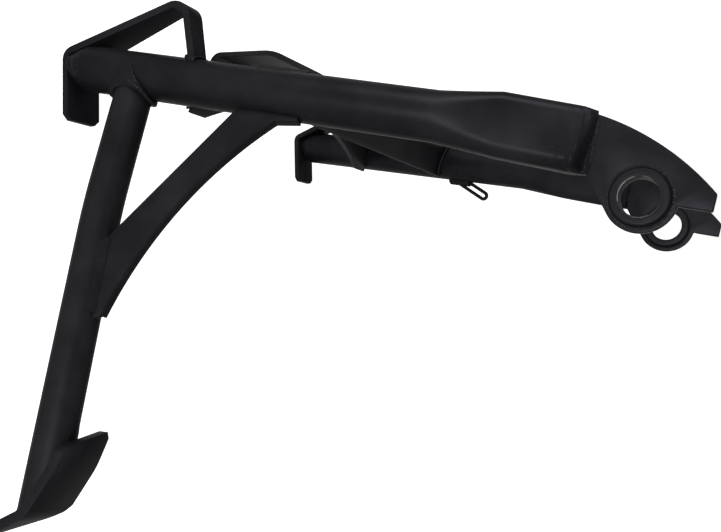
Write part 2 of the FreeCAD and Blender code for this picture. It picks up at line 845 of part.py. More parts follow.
hanger_turn = math.radians(size("hanger_angle"))
leg_at_hanger = leg_point(-1, size("hanger_drop"))
hanger_root = leg_at_hanger - V(size("leg_dia") / 2, 0, 0)
hanger_place = FreeCAD.Placement(
    hanger_root, FreeCAD.Rotation(LEFT, 0) * FreeCAD.Rotation(V(1, 0, 0), 90)
)
wire = size("hanger_wire")
spread = (size("hanger_width") - wire) / 2
out = V(-math.cos(hanger_turn), math.sin(hanger_turn), 0)
across = V(out.y, -out.x, 0)
tip_centre = out * (size("hanger_length") - wire / 2 - spread)
start = out * -size("hanger_root")
loop_body = body("spring_hanger_loop_blank", hanger_place)
loop_path = sketch(loop_body, "XY_Plane", [
    Part.LineSegment(start + across * spread, tip_centre + across * spread),
    Part.Arc(tip_centre + across * spread, tip_centre + out * spread,
             tip_centre - across * spread),
    Part.LineSegment(tip_centre - across * spread, start - across * spread),
])
wire_section = loop_body.newObject("Sketcher::SketchObject", "hanger_wire_section")
wire_section.AttachmentSupport = [(loop_path, "Edge1")]
wire_section.MapMode = "NormalToEdge"
wire_section.addGeometry([circle(wire / 2)], False)
doc.recompute()
sweep = loop_body.newObject("PartDesign::AdditivePipe", "hanger_sweep")
sweep.Profile = wire_section
sweep.Spine = (loop_path, ["Edge1", "Edge2", "Edge3"])
loop = keep(boolean("Cut", "spring_hanger_loop", loop_body, leg_rods["right"]))

bead_length = size("hanger_weld_length")
bead_axis = leg_axis(-1)
bead_place = FreeCAD.Placement(
    hanger_root - bead_axis * (bead_length / 2), FreeCAD.Rotation(UP, bead_axis)
)
bead = rod("hanger_bead", "sizes.hanger_weld_dia / 2", bead_length, bead_place)
bead_off_leg = boolean("Cut", "hanger_bead_off_leg", bead, leg_rods["right"])
keep(boolean("Cut", "spring_hanger_weld", bead_off_leg, loop))


# Weld beads

for name, side in sides.items():
    # round the boss, on the plate's outer face
    face_level = side * size("plate_span") / 2
    rim = size("boss_dia") / 2
    step = size("boss_weld")
    bead = body(name + "_boss_weld")
    profile = sketch(bead, "XY_Plane", rounded(
        [V(rim, face_level, 0), V(rim + step, face_level, 0), V(rim, face_level + side * step, 0)],
        [0, 0, 0]))
    feature(bead, "Revolution", profile, ReferenceAxis=(profile, ["V_Axis"]), Angle=360)
    keep(bead)

    # along the crimped tube end, on the plate's outer face
    centre, along, forward = tube_end_centre()
    step = size("plate_weld")
    half = size("plate_shoulder_rear") - size("crimp_corner")
    seam_frame = FreeCAD.Rotation(V(forward.x, 0, forward.y), V(0, side, 0),
                                  V(along.x, 0, along.y), "XZY")
    seam_place = FreeCAD.Placement(V(centre.x, side * size("plate_span") / 2, centre.y),
                                   seam_frame)
    bead = body(name + "_plate_seam", seam_place)
    section = sketch(bead, "YZ_Plane", rounded(
        [V(0, -step, 0), V(0, step, 0), V(side * step * 0.75, -step, 0)], [0, 0, 0]))
    feature(bead, "Pad", section, Midplane=True, Length=2 * half)
    tube_node = doc.getObject(name + "_leg_tube")
    keep(boolean("Cut", name + "_plate_weld", bead, tube_node))

    # between the leg's lower end and the strap, narrowing to the sole
    rim = size("leg_dia") / 2
    end_run = leg_run - size("leg_end_above_ground") / leg_axis(side).z
    bead = body(name + "_foot_weld_blank", leg_frame(side))
    profile = sketch(bead, "XZ_Plane", rounded(
        [
            V(0, -end_run, 0),
            V(rim, -end_run, 0),
            V(rim - size("foot_weld"), -leg_run, 0),
            V(0, -leg_run, 0),
        ],
        [0] * 4))
    feature(bead, "Revolution", profile, ReferenceAxis=(profile, ["V_Axis"]), Angle=360)
    keep(boolean("Cut", name + "_foot_weld", bead, doc.getObject(name + "_strap_room")))

    # round the strap's upper end, on the leg
    path = strap_path()
    spread = size("strap_weld")
    wide = shifted(path[2:], -spread)
    bead = body(name + "_strap_weld_blank")
    profile = sketch(bead, "XZ_Plane", band(wide, [0, 0], size("strap_thick") + 2 * spread),
                     V(0, 0, -side * (strap_top_near + spread)))
    width = strap_top_near - strap_top_far + 2 * spread
    feature(bead, "Pad", profile, Length=width, Reversed=side < 0)
    near_leg = boolean("Common", name + "_strap_weld_near", bead, leg_seam_rods[name])
    off_leg = boolean("Cut", name + "_strap_weld_off_leg", near_leg, leg_rods[name])
    keep(boolean("Cut", name + "_strap_weld", off_leg, straps[name]))

    # along the brace's end, on its outer side
    outer_path = shifted(brace_path(), size("brace_weld"))
    outer_radii = [0] + [radius + size("brace_weld") for radius in brace_radii[1:4]] + [0]
    for wall, first, last in (("front", 0, 3), ("rear", 3, 5)):
        label = f"{name}_brace_{wall}_weld"
        radii = [0] + outer_radii[first + 1:last - 1] + [0]
        bead = brace_blank(label + "_blank", band(outer_path[first:last], radii,
                                                  -size("brace_weld")))
        near_leg = boolean("Common", label + "_near", bead, leg_seam_rods[name])
        keep(boolean("Cut", label, near_leg, leg_rods[name]))

# where the lever meets the leg
lever_weld_rod = swept_lever("lever_weld_reach", [circle(outer + size("weld_leg"))])
leg_weld_rod = rod("lever_root_reach", "sizes.leg_dia / 2 + sizes.weld_leg",
                   leg_run - size("flat_start"), leg_rods["left"].Placement)
bead = boolean("Common", "lever_root_near", lever_weld_rod, leg_weld_rod)
bead = boolean("Cut", "lever_root_off_leg", bead, leg_rods["left"])
keep(boolean("Cut", "lever_root_weld", bead, lever_round))

# where the lever meets the pad
collar = body("pad_weld_blank", lever_place)
inner_face = shifted(pad_path(), -size("pad_thick"))
face_radii = [0, size("pad_mid_radius") - size("pad_thick"),
              size("pad_knee_radius") - size("pad_thick"), 0]
feature(collar, "Pad", sketch(collar, "XY_Plane", band(inner_face, face_radii,
                                                       -size("weld_leg"))),
        Midplane=True, Length=size("pad_width"))
bead = boolean("Common", "pad_weld_near", collar, lever_weld_rod)
keep(boolean("Cut", "pad_weld", bead, lever_round))

# along the gusset, on the leg and on the lever, between the ends of its web
step = size("gusset_weld")
level = size("gusset_face")
leg_side = math.sqrt((size("leg_dia") / 2) ** 2 - level ** 2)
lever_side = math.sqrt((size("lever_dia") / 2) ** 2 - level ** 2)
leg_direction = unit(corner["top_inner"])
surface = V(leg_direction.y, -leg_direction.x, 0) * leg_side
leg_start = meet(corner["toe_inner"], corner["top_inner"], surface, surface + leg_direction)
outer_run = unit(lever_points[2] - lever_points[1])
lever_surface = lever_points[1] + V(-outer_run.y, outer_run.x, 0) * lever_side
lever_start = meet(corner["toe_inner"], corner["top_inner"], lever_surface,
                   lever_surface + outer_run)
seam_turn = FreeCAD.Rotation(UP, math.degrees(math.atan2(outer_run.y, outer_run.x)))
lever_seam_frame = lever_place * FreeCAD.Placement(lever_points[1], seam_turn)
low = leg_start.dot(leg_direction)
high = corner["tail_outer"].dot(leg_direction)
seams = (
    ("gusset_leg_weld", gusset_leg_frame(), "XY_Plane", leg_side, low, high, leg_rods["left"]),
    ("gusset_lever_weld", lever_seam_frame, "YZ_Plane", lever_side,
     lever_start.x - size("lever_bend_run"),
     size("gusset_toe_outer_run") - size("lever_bend_run"), lever_round),
)
for label, place, plane, side_level, low, high, round_bar in seams:
    bead = body(label + "_blank", place)
    profile = sketch(bead, plane, rounded(
        [V(side_level - step, level, 0), V(side_level + step, level, 0),
         V(side_level - step, level + step * 1.6, 0)], [0, 0, 0]),
        V(0, 0, low))
    feature(bead, "Pad", profile, Length=high - low)
    keep(boolean("Cut", label, bead, round_bar))

doc.recompute()

# Checks, then one file for each node

for item in doc.Objects:
    if "Invalid" in item.State or "Error" in item.State:
        raise RuntimeError(f"{item.Label} failed: {item.State}")
for node in nodes:
    if node.Shape.isNull() or not node.Shape.isValid():
        raise RuntimeError(f"{node.Label} has no valid shape")

os.makedirs("parts", exist_ok=True)
for node in nodes:
    node.Shape.exportStep(f"parts/{node.Label}.step")
    count = len(node.Shape.Solids)
    print(f"{node.Label}: {count} solid, {node.Shape.Volume / 1000:.2f} cm3")
print(len(nodes), "nodes")
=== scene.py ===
import math

import bmesh
import bpy
import numpy as np
from mathutils import Matrix, Vector


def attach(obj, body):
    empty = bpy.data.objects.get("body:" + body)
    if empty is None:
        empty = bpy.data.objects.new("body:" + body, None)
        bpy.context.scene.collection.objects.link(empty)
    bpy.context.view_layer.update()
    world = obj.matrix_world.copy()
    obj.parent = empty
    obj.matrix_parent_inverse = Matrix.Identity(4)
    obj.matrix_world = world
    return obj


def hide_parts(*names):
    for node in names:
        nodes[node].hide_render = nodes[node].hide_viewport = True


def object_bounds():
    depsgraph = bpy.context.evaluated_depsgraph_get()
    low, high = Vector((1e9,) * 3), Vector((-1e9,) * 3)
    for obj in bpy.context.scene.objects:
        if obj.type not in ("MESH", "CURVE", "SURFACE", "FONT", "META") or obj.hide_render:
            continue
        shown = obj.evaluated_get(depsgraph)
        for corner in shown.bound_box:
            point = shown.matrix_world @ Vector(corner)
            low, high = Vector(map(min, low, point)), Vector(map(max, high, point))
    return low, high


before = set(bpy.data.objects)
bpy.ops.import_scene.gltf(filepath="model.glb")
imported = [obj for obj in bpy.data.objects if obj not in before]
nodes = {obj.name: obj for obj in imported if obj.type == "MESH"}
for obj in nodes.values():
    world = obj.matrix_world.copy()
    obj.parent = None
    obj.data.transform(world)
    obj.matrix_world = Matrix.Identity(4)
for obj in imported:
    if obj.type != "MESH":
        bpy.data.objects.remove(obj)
cadLow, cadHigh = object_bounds()
print("stage: frame loaded")

white = (1.0, 1.0, 1.0, 1.0)


# Shader and geometry node helpers
def newTree(material):
    material.use_nodes = True
    material.node_tree.nodes.clear()
    return material.node_tree


def addNode(tree, kind, **settings):
    made = tree.nodes.new(kind)
    for key, value in settings.items():
        setattr(made, key, value)
    return made


def setSocket(node, name, value):
    node.inputs[name].default_value = value


def noiseNode(tree, vector, scale, detail=4.0, rough=0.55):
    made = addNode(tree, "ShaderNodeTexNoise")
    setSocket(made, "Scale", scale)
    setSocket(made, "Detail", detail)
    setSocket(made, "Roughness", rough)
    tree.links.new(vector, made.inputs["Vector"])
    return made.outputs["Fac"]


def rangeNode(tree, value, low, high, toLow, toHigh, smooth=False):
    made = addNode(tree, "ShaderNodeMapRange", clamp=True)
    if smooth:
        made.interpolation_type = "SMOOTHSTEP"
    setSocket(made, "From Min", low)
    setSocket(made, "From Max", high)
    setSocket(made, "To Min", toLow)
    setSocket(made, "To Max", toHigh)
    tree.links.new(value, made.inputs["Value"])
    return made.outputs["Result"]


def mixColour(tree, factor, first, second):
    made = addNode(tree, "ShaderNodeMix", data_type="RGBA")
    for index, colour in ((6, first), (7, second)):
        if isinstance(colour, tuple):
            made.inputs[index].default_value = colour
        else:
            tree.links.new(colour, made.inputs[index])
    tree.links.new(factor, made.inputs[0])
    return made.outputs[2]


def mathNode(tree, operation, *values):
    made = addNode(tree, "ShaderNodeMath", operation=operation)
    for index, value in enumerate(values):
        if isinstance(value, (int, float)):
            made.inputs[index].default_value = value
        else:
            tree.links.new(value, made.inputs[index])
    return made.outputs[0]


# Satin black paint: on the body ("coat...") and on the welds ("weld..."); its black edge
# tint is painted shade on the rims
paint = {
    "dark": (0.0088, 0.0088, 0.0101, 1.0),
    "pale": (0.0136, 0.0136, 0.0155, 1.0),
    "mottleScale": 26.0,
    "mottleFrom": 0.3,
    "mottleTo": 0.7,
    "roughFrom": 0.25,
    "roughTo": 0.75,
    "coatRoughLow": 0.36,
    "coatRoughHigh": 0.48,
    "coatGrainScale": 900.0,
    "coatGrainDepth": 0.00006,
    "weldRoughLow": 0.30,
    "weldRoughHigh": 0.44,
    "weldGrainScale": 420.0,
    "weldGrainDepth": 0.00022,
    "grainDetail": 2.0,
    "grainStrength": 0.6,
    "speckScale": 420.0,
    "speckDetail": 1.0,
    "speckFrom": 0.80,
    "speckFade": 0.06,
    "speckColour": (0.045, 0.044, 0.042, 1.0),
    "shine": 0.024,
    "braceShine": 0.22,
    "metal": 0.46,
    # Black edge tint: painted shade that darkens the rims where they would reflect the
    # world
    "paintedRimShade": (0.0, 0.0, 0.0, 1.0),
}


def coatParts(tree, kind):
    place = addNode(tree, "ShaderNodeTexCoord").outputs["Object"]
    mottle = noiseNode(tree, place, paint["mottleScale"])
    grain = noiseNode(tree, place, paint[kind + "GrainScale"], paint["grainDetail"])
    speck = noiseNode(tree, place, paint["speckScale"], paint["speckDetail"])
    shade = rangeNode(
        tree, mottle, paint["mottleFrom"], paint["mottleTo"], 0.0, 1.0, smooth=True
    )
    colour = mixColour(tree, shade, paint["dark"], paint["pale"])
    speckFrom = paint["speckFrom"]
    dust = rangeNode(tree, speck, speckFrom, speckFrom + paint["speckFade"], 0.0, 1.0)
    colour = mixColour(tree, dust, colour, paint["speckColour"])
    rough = rangeNode(
        tree,
        mottle,
        paint["roughFrom"],
        paint["roughTo"],
        paint[kind + "RoughLow"],
        paint[kind + "RoughHigh"],
    )
    bump = addNode(tree, "ShaderNodeBump")
    setSocket(bump, "Strength", paint["grainStrength"])
    setSocket(bump, "Distance", paint[kind + "GrainDepth"])
    tree.links.new(grain, bump.inputs["Height"])
    return place, colour, rough, bump.outputs["Normal"]


def shaderEnd(tree, colour, rough, normal, shine, metal=None, tint=None):
    surface = addNode(tree, "ShaderNodeBsdfPrincipled")
    end = addNode(tree, "ShaderNodeOutputMaterial")
    setSocket(surface, "Specular IOR Level", shine)
    tree.links.new(colour, surface.inputs["Base Color"])
    tree.links.new(rough, surface.inputs["Roughness"])
    tree.links.new(normal, surface.inputs["Normal"])
    if metal is None:
        setSocket(surface, "Metallic", paint["metal"])
        # the black edge tint is painted shade on the rims
        setSocket(surface, "Specular Tint", paint["paintedRimShade"])
    else:
        tree.links.new(metal, surface.inputs["Metallic"])
        tree.links.new(tint, surface.inputs["Specular Tint"])
    tree.links.new(surface.outputs["BSDF"], end.inputs["Surface"])


def makeCoat(name, kind, shine):
    material = bpy.data.materials.new(name)
    tree = newTree(material)
    _, colour, rough, normal = coatParts(tree, kind)
    shaderEnd(tree, colour, rough, normal, shine)
    return material


# Bare steel where the coat is worn off at the mouth of each boss
steel = {
    "colour": (0.30, 0.29, 0.28, 1.0),
    "rough": 0.42,
    "innerEdge": 0.0114,
    "outerEdge": 0.0118,
    "mouthInside": 0.0957,
    "mouthOutside": 0.0962,
    "patchScale": 110.0,
    "patchDetail": 3.0,
    "patchLow": 0.44,
    "patchHigh": 0.66,
    "patchLeast": 0.16,
    "wearTowardX": 0.45,
    "wearTowardZ": -0.89,
    "wearFrom": 0.45,
    "wearFull": 0.98,
    "wearLeast": 0.45,
}


def makeBossCoat():
    material = bpy.data.materials.new("boss coat with worn bore")
    tree = newTree(material)
    place, colour, rough, normal = coatParts(tree, "coat")
    split = addNode(tree, "ShaderNodeSeparateXYZ")
    tree.links.new(place, split.inputs[0])
    alongX, alongY, alongZ = split.outputs

    across = mathNode(tree, "MULTIPLY", alongX, alongX)
    upward = mathNode(tree, "MULTIPLY", alongZ, alongZ)
    radius = mathNode(tree, "SQRT", mathNode(tree, "ADD", across, upward))
    edge = rangeNode(
        tree, radius, steel["innerEdge"], steel["outerEdge"], 1.0, 0.0, smooth=True
    )

    patch = noiseNode(tree, place, steel["patchScale"], steel["patchDetail"])
    patch = rangeNode(
        tree,
        patch,
        steel["patchLow"],
        steel["patchHigh"],
        steel["patchLeast"],
        1.0,
        smooth=True,
    )

    toward = mathNode(
        tree,
        "ADD",
        mathNode(tree, "MULTIPLY", alongX, steel["wearTowardX"]),
        mathNode(tree, "MULTIPLY", alongZ, steel["wearTowardZ"]),
    )
    toward = mathNode(tree, "DIVIDE", toward, radius)
    toward = rangeNode(
        tree,
        toward,
        steel["wearFrom"],
        steel["wearFull"],
        steel["wearLeast"],
        1.0,
        smooth=True,
    )

    outward = mathNode(tree, "ABSOLUTE", alongY)
    mouth = rangeNode(
        tree,
        outward,
        steel["mouthInside"],
        steel["mouthOutside"],
        0.0,
        1.0,
        smooth=True,
    )

    worn = mathNode(tree, "MULTIPLY", edge, patch)
    worn = mathNode(tree, "MULTIPLY", worn, toward)
    worn = mathNode(tree, "MULTIPLY", worn, mouth)
    colour = mixColour(tree, worn, colour, steel["colour"])
    roughness = addNode(tree, "ShaderNodeMix", data_type="FLOAT")
    tree.links.new(worn, roughness.inputs[0])
    tree.links.new(rough, roughness.inputs[2])
    roughness.inputs[3].default_value = steel["rough"]
    metal = rangeNode(tree, worn, 0.0, 1.0, paint["metal"], 1.0)
    # The coat keeps its painted rim shade; bare steel reflects with a white tint
    tint = mixColour(tree, worn, paint["paintedRimShade"], white)
    shaderEnd(tree, colour, roughness.outputs[0], normal, paint["shine"], metal, tint)
    return material


coat = makeCoat("satin black coat", "coat", paint["shine"])
braceCoat = makeCoat("glossier black coat on brace", "coat", paint["braceShine"])
weldCoat = makeCoat("satin black coat on weld", "weld", paint["shine"])
bossCoat = makeBossCoat()
print("stage: materials made")


# Mesh helpers
meshing = {
    "mergeDistance": 1e-6,
    "refineTurns": 7,
    "smoothShare": 0.5,
}


def mergedCopy(node, name):
    mesh = nodes[node].data.copy()
    mesh.name = name
    work = bmesh.new()
    work.from_mesh(mesh)
    bmesh.ops.remove_doubles(work, verts=work.verts, dist=meshing["mergeDistance"])
    bmesh.ops.recalc_face_normals(work, faces=work.faces)
    work.to_mesh(mesh)
    work.free()
    piece = bpy.data.objects.new(name, mesh)
    bpy.context.scene.collection.objects.link(piece)
    return piece


def setMaterial(piece, material):
    piece.data.materials.clear()
    piece.data.materials.append(material)


def dropNormals(mesh):
    for label in ("custom_normal", "sharp_edge"):
        if label in mesh.attributes:
            mesh.attributes.remove(mesh.attributes[label])


def finishMesh(piece):
    graph = bpy.context.evaluated_depsgraph_get()
    plain = bpy.data.meshes.new_from_object(piece.evaluated_get(graph))
    piece.modifiers.clear()
    old = piece.data
    plain.name = piece.name
    piece.data = plain
    bpy.data.meshes.remove(old)


def smoothFaces(piece, angle):
    for face in piece.data.polygons:
        face.use_smooth = True
    piece.data.set_sharp_from_angle(angle=angle)


def placePiece(piece, node):
    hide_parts(node)
    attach(piece, "root")


# Splits long edges where the test "inside" holds, then smooths the points
def refine(piece, length, turns, inside=None):
    work = bmesh.new()
    work.from_mesh(piece.data)
    bmesh.ops.triangulate(work, faces=work.faces)
    for _ in range(meshing["refineTurns"]):
        long = [e for e in work.edges if e.calc_length() > length]
        if inside is not None:
            long = [e for e in long if any(inside(v.co) for v in e.verts)]
        if not long:
            break
        bmesh.ops.subdivide_edges(work, edges=long, cuts=1)
        bmesh.ops.triangulate(work, faces=work.faces)
    for _ in range(turns):
        bmesh.ops.smooth_vert(
            work,
            verts=work.verts,
            factor=meshing["smoothShare"],
            use_axis_x=True,
            use_axis_y=True,
            use_axis_z=True,
        )
    work.to_mesh(piece.data)
    work.free()


def storeValues(piece, label, values):
    store = piece.data.attributes.new(label, "FLOAT", "POINT")
    store.data.foreach_set("value", values)


def newGroup(name, sockets):
    group = bpy.data.node_groups.new(name, "GeometryNodeTree")
    interface = group.interface
    interface.new_socket("Geometry", in_out="INPUT", socket_type="NodeSocketGeometry")
    for label, kind in sockets.items():
        interface.new_socket(label, in_out="INPUT", socket_type="NodeSocket" + kind)
    interface.new_socket("Geometry", in_out="OUTPUT", socket_type="NodeSocketGeometry")
    start = addNode(group, "NodeGroupInput")
    end = addNode(group, "NodeGroupOutput")
    return group, start, end


def namedValue(group, label):
    made = addNode(group, "GeometryNodeInputNamedAttribute", data_type="FLOAT")
    setSocket(made, "Name", label)
    return made.outputs[0]


def lumpNode(group, vector, size, detail):
    made = addNode(group, "ShaderNodeTexNoise")
    setSocket(made, "Detail", detail)
    group.links.new(vector, made.inputs["Vector"])
    group.links.new(mathNode(group, "DIVIDE", 1.0, size), made.inputs["Scale"])
    return made.outputs["Fac"]


# Every group ends alike: points moved, instances realized, material set
def endGroup(group, start, end, offset):
    move = addNode(group, "GeometryNodeSetPosition")
    group.links.new(start.outputs["Geometry"], move.inputs["Geometry"])
    group.links.new(offset, move.inputs["Offset"])
    real = addNode(group, "GeometryNodeRealizeInstances")
    group.links.new(move.outputs[0], real.inputs[0])
    dress = addNode(group, "GeometryNodeSetMaterial")
    group.links.new(real.outputs[0], dress.inputs["Geometry"])
    group.links.new(start.outputs["Coat"], dress.inputs["Material"])
    group.links.new(dress.outputs[0], end.inputs[0])


# Runs the group on the piece, then drops the values stored for it
def applyGroup(piece, group, values, labels):
    work = piece.modifiers.new(group.name, "NODES")
    work.node_group = group
    for item in group.interface.items_tree:
        isInput = item.item_type == "SOCKET" and item.in_out == "INPUT"
        if isInput and item.name in values:
            work[item.identifier] = values[item.name]
    finishMesh(piece)
    for label in labels:
        piece.data.attributes.remove(piece.data.attributes[label])


# Sheet pieces and bosses with rounded edges
rounding = {
    "steps": 3,
    "sharpAngle": 0.52,
    "flatAngle": 0.01,
    "widths": {
        "left_pivot_plate": 0.0007,
        "right_pivot_plate": 0.0007,
        "left_foot_strap": 0.0009,
        "right_foot_strap": 0.0009,
        "cross_brace": 0.0007,
        "lever_pad": 0.0015,
        "lever_gusset": 0.0010,
        "left_pivot_boss": 0.0005,
        "right_pivot_boss": 0.0005,
    },
    "bossRimFrom": 0.0145,
    "bossRim": 0.0020,
    "bossRimSteps": 5,
}


def roundEdges(piece, width):
    dropNormals(piece.data)
    work = bmesh.new()
    work.from_mesh(piece.data)
    bmesh.ops.dissolve_limit(
        work,
        angle_limit=rounding["flatAngle"],
        verts=work.verts,
        edges=work.edges,
    )
    work.to_mesh(piece.data)
    work.free()
    bevel = piece.modifiers.new("rounding", "BEVEL")
    bevel.width = width
    bevel.segments = rounding["steps"]
    bevel.limit_method = "ANGLE"
    bevel.angle_limit = rounding["sharpAngle"]
    bevel.use_clamp_overlap = True
    finishMesh(piece)


def roundBossRim(piece):
    def isRim(edge):
        return (
            len(edge.link_faces) == 2
            and edge.calc_face_angle() > rounding["sharpAngle"]
            and all(
                math.hypot(v.co.x, v.co.z) > rounding["bossRimFrom"]
                for v in edge.verts
            )
        )

    work = bmesh.new()
    work.from_mesh(piece.data)
    bmesh.ops.bevel(
        work,
        geom=[edge for edge in work.edges if isRim(edge)],
        offset=rounding["bossRim"],
        segments=rounding["bossRimSteps"],
        profile=0.5,
        affect="EDGES",
        clamp_overlap=True,
    )
    work.to_mesh(piece.data)
    work.free()


def roundedPiece(node, width):
    piece = mergedCopy(node, node + "_rounded")
    isBoss = node.endswith("boss")
    if isBoss:
        setMaterial(piece, bossCoat)
        roundBossRim(piece)
    else:
        setMaterial(piece, braceCoat if node == "cross_brace" else coat)
    roundEdges(piece, width)
    smoothFaces(piece, rounding["sharpAngle"])
    placePiece(piece, node)


for node, width in rounding["widths"].items():
    roundedPiece(node, width)
print("stage: sheet pieces rounded")


# Weld beads: ripples along the run of each bead and slow lumps over it
bead = {
    "edgeLength": 0.0011,
    "sharpAngle": 1.0,
    "pitch": 0.0034,
    "rippleHeight": 0.00008,
    "rippleSway": 7.0,
    "lumpSize": 0.0075,
    "lumpHeight": 0.00016,
    "lumpDetail": 1.0,
    "lumpMiddle": 0.55,
    "lumpGain": 3.0,
    "smoothTurns": 8,
    "softTurns": 26,
    "seed": 5,
}

# Each bead's course and how lumpy it is beside the others
pairedBeads = {
    "boss_weld": ("ring", 0.7),
    "plate_weld": ("line", 1.6),
    "foot_weld": ("ring", 3.0),
    "strap_weld": ("ring", 1.0),
    "brace_front_weld": ("line", 1.0),
    "brace_rear_weld": ("line", 1.0),
}
singleBeads = {
    "lever_root_weld": ("ring", 3.0),
    "pad_weld": ("ring", 1.0),
    "gusset_leg_weld": ("line", 1.2),
    "gusset_lever_weld": ("line", 2.4),
    "spring_hanger_weld": ("line", 1.6),
}

# The bead round each boss is hollow across
bossWeld = {
    "insideRadius": 0.0160,
    "width": 0.0032,
    "foot": 0.0926,
    "hollow": 0.0026,
}

# The bead at the lever's pad is only a thin skin on the lever
padWeld = {
    "leverRadius": 0.0127,
    "leverPoint": (-0.1650, 0.2147, -0.32754),
    "leverAlong": (-0.9708, 0.2393, -0.0162),
    "keptShare": 0.08,
}


def hollowBossWeld(piece):
    for vertex in piece.data.vertices:
        x, y, z = vertex.co
        part = (math.hypot(x, z) - bossWeld["insideRadius"]) / bossWeld["width"]
        part = min(1.0, max(0.0, part))
        drop = bossWeld["hollow"] * math.sin(math.pi * part)
        drop = min(drop, max(0.0, abs(y) - bossWeld["foot"]))
        vertex.co.y = y - math.copysign(drop, y)


def slimPadWeld(piece):
    middle = Vector(padWeld["leverPoint"])
    axis = Vector(padWeld["leverAlong"]).normalized()
    for vertex in piece.data.vertices:
        away = vertex.co - middle
        away = away - axis * away.dot(axis)
        extra = away.length - padWeld["leverRadius"]
        if extra > 0:
            vertex.co -= away.normalized() * extra * (1 - padWeld["keptShare"])


# Phase of the ripples at each point, round a ring or along a line
def runAlong(piece, course):
    points = np.empty(len(piece.data.vertices) * 3)
    piece.data.vertices.foreach_get("co", points)
    points = points.reshape(-1, 3)
    middle = (points.min(0) + points.max(0)) / 2
    spread = points - points.mean(0)
    axes = np.linalg.eigh(spread.T @ spread)[1]
    if course == "ring":
        first = (points - middle) @ axes[:, 1]
        second = (points - middle) @ axes[:, 2]
        reach = np.hypot(first, second).mean()
        laps = max(1, round(2 * math.pi * reach / bead["pitch"]))
        return np.arctan2(first, second) * laps
    return (spread @ axes[:, 2]) * 2 * math.pi / bead["pitch"]


def beadGroup():
    sockets = {
        "Ripple height": "Float",
        "Lump height": "Float",
        "Lump size": "Float",
        "Seed": "Int",
        "Coat": "Material",
    }
    group, start, end = newGroup("weld ripples", sockets)
    place = addNode(group, "GeometryNodeInputPosition")
    facing = addNode(group, "GeometryNodeInputNormal")
    shift = addNode(group, "ShaderNodeVectorMath", operation="ADD")
    group.links.new(place.outputs[0], shift.inputs[0])
    group.links.new(start.outputs["Seed"], shift.inputs[1])
    size = start.outputs["Lump size"]
    lump = lumpNode(group, shift.outputs[0], size, bead["lumpDetail"])
    sway = mathNode(group, "MULTIPLY", lump, bead["rippleSway"])
    phase = mathNode(group, "ADD", namedValue(group, "run"), sway)
    wave = mathNode(group, "SINE", phase)
    wave = mathNode(group, "MULTIPLY", wave, start.outputs["Ripple height"])
    slow = mathNode(group, "SUBTRACT", lump, bead["lumpMiddle"])
    slow = mathNode(group, "MULTIPLY", slow, start.outputs["Lump height"])
    slow = mathNode(group, "MULTIPLY", slow, bead["lumpGain"])
    height = mathNode(group, "ADD", wave, slow)
    push = addNode(group, "ShaderNodeVectorMath", operation="SCALE")
    group.links.new(facing.outputs[0], push.inputs[0])
    group.links.new(height, push.inputs["Scale"])
    endGroup(group, start, end, push.outputs[0])
    return group


ripples = beadGroup()


def beadPiece(node, course, lumps):
    piece = mergedCopy(node, node + "_bead")
    dropNormals(piece.data)
    isSoft = node.startswith("gusset") or node.endswith("strap_weld")
    refine(piece, bead["edgeLength"], bead["softTurns" if isSoft else "smoothTurns"])
    if node.endswith("boss_weld"):
        hollowBossWeld(piece)
    if node == "pad_weld":
        slimPadWeld(piece)
    storeValues(piece, "run", runAlong(piece, course))
    setMaterial(piece, weldCoat)
    values = {
        "Ripple height": bead["rippleHeight"],
        "Lump height": bead["lumpHeight"] * lumps,
        "Lump size": bead["lumpSize"],
        "Seed": bead["seed"],
        "Coat": weldCoat,
    }
    applyGroup(piece, ripples, values, ["run"])
    smoothFaces(piece, bead["sharpAngle"])
    placePiece(piece, node)


for side in ("left", "right"):
    for kind, (course, lumps) in pairedBeads.items():
        beadPiece(side + "_" + kind, course, lumps)
for node, (course, lumps) in singleBeads.items():
    beadPiece(node, course, lumps)
print("stage: weld beads rippled")


# Leg tubes: lumps of weld close the flattened end beside each pivot plate
crimp = {
    "rounding": 0.0016,
    "sharpAngle": 0.7,
    "edgeLength": 0.0012,
    "lineStart": (0.0197, -0.0307),
    "lineEnd": (0.0476, -0.0185),
    "reach": 0.016,
    "nearGain": 1.6,
    "outFrom": 0.0926,
    "outFade": 0.0010,
    "refineMargin": 0.002,
    "grooveAt": -0.0012,
    "grooveDepth": 0.0036,
    "ridgeAt": 0.0046,
    "ridgeHeight": 0.0013,
    "halfWidth": 0.0026,
    "swayGain": 1.2,
    "swayLeast": 0.4,
    "lumpSize": 0.0050,
    "lumpStretch": 0.35,
    "lumpHeight": 0.0012,
    "lumpDetail": 0.5,
    "lumpMiddle": 0.5,
    "lumpGain": 3.0,
}


# Distance of a point from the tube's end line, seen along Y
def crimpDistance(point):
    (x0, z0), (x1, z1) = crimp["lineStart"], crimp["lineEnd"]
    along = math.hypot(x1 - x0, z1 - z0)
    return ((point[0] - x0) * (z1 - z0) - (point[2] - z0) * (x1 - x0)) / along


def nearCrimp(point):
    outFrom = crimp["outFrom"] - crimp["refineMargin"]
    return crimpDistance(point) < crimp["reach"] and abs(point.y) > outFrom


def bellCurve(distance):
    return math.exp(-((distance / crimp["halfWidth"]) ** 2))


# Lump weight and the depth of groove and ridge at a point, with the side's sign
def crimpShape(point):
    gone = crimpDistance(point)
    beyond = abs(point.y) - crimp["outFrom"]
    near = min(1.0, max(0.0, 1.0 - gone / crimp["reach"]))
    out = min(1.0, max(0.0, beyond / crimp["outFade"]))
    side = math.copysign(out, point.y)
    groove = bellCurve(gone - crimp["grooveAt"]) * crimp["grooveDepth"]
    ridge = bellCurve(gone - crimp["ridgeAt"]) * crimp["ridgeHeight"]
    weight = min(1.0, near * crimp["nearGain"]) * side
    return weight, max(ridge - groove, -beyond) * side


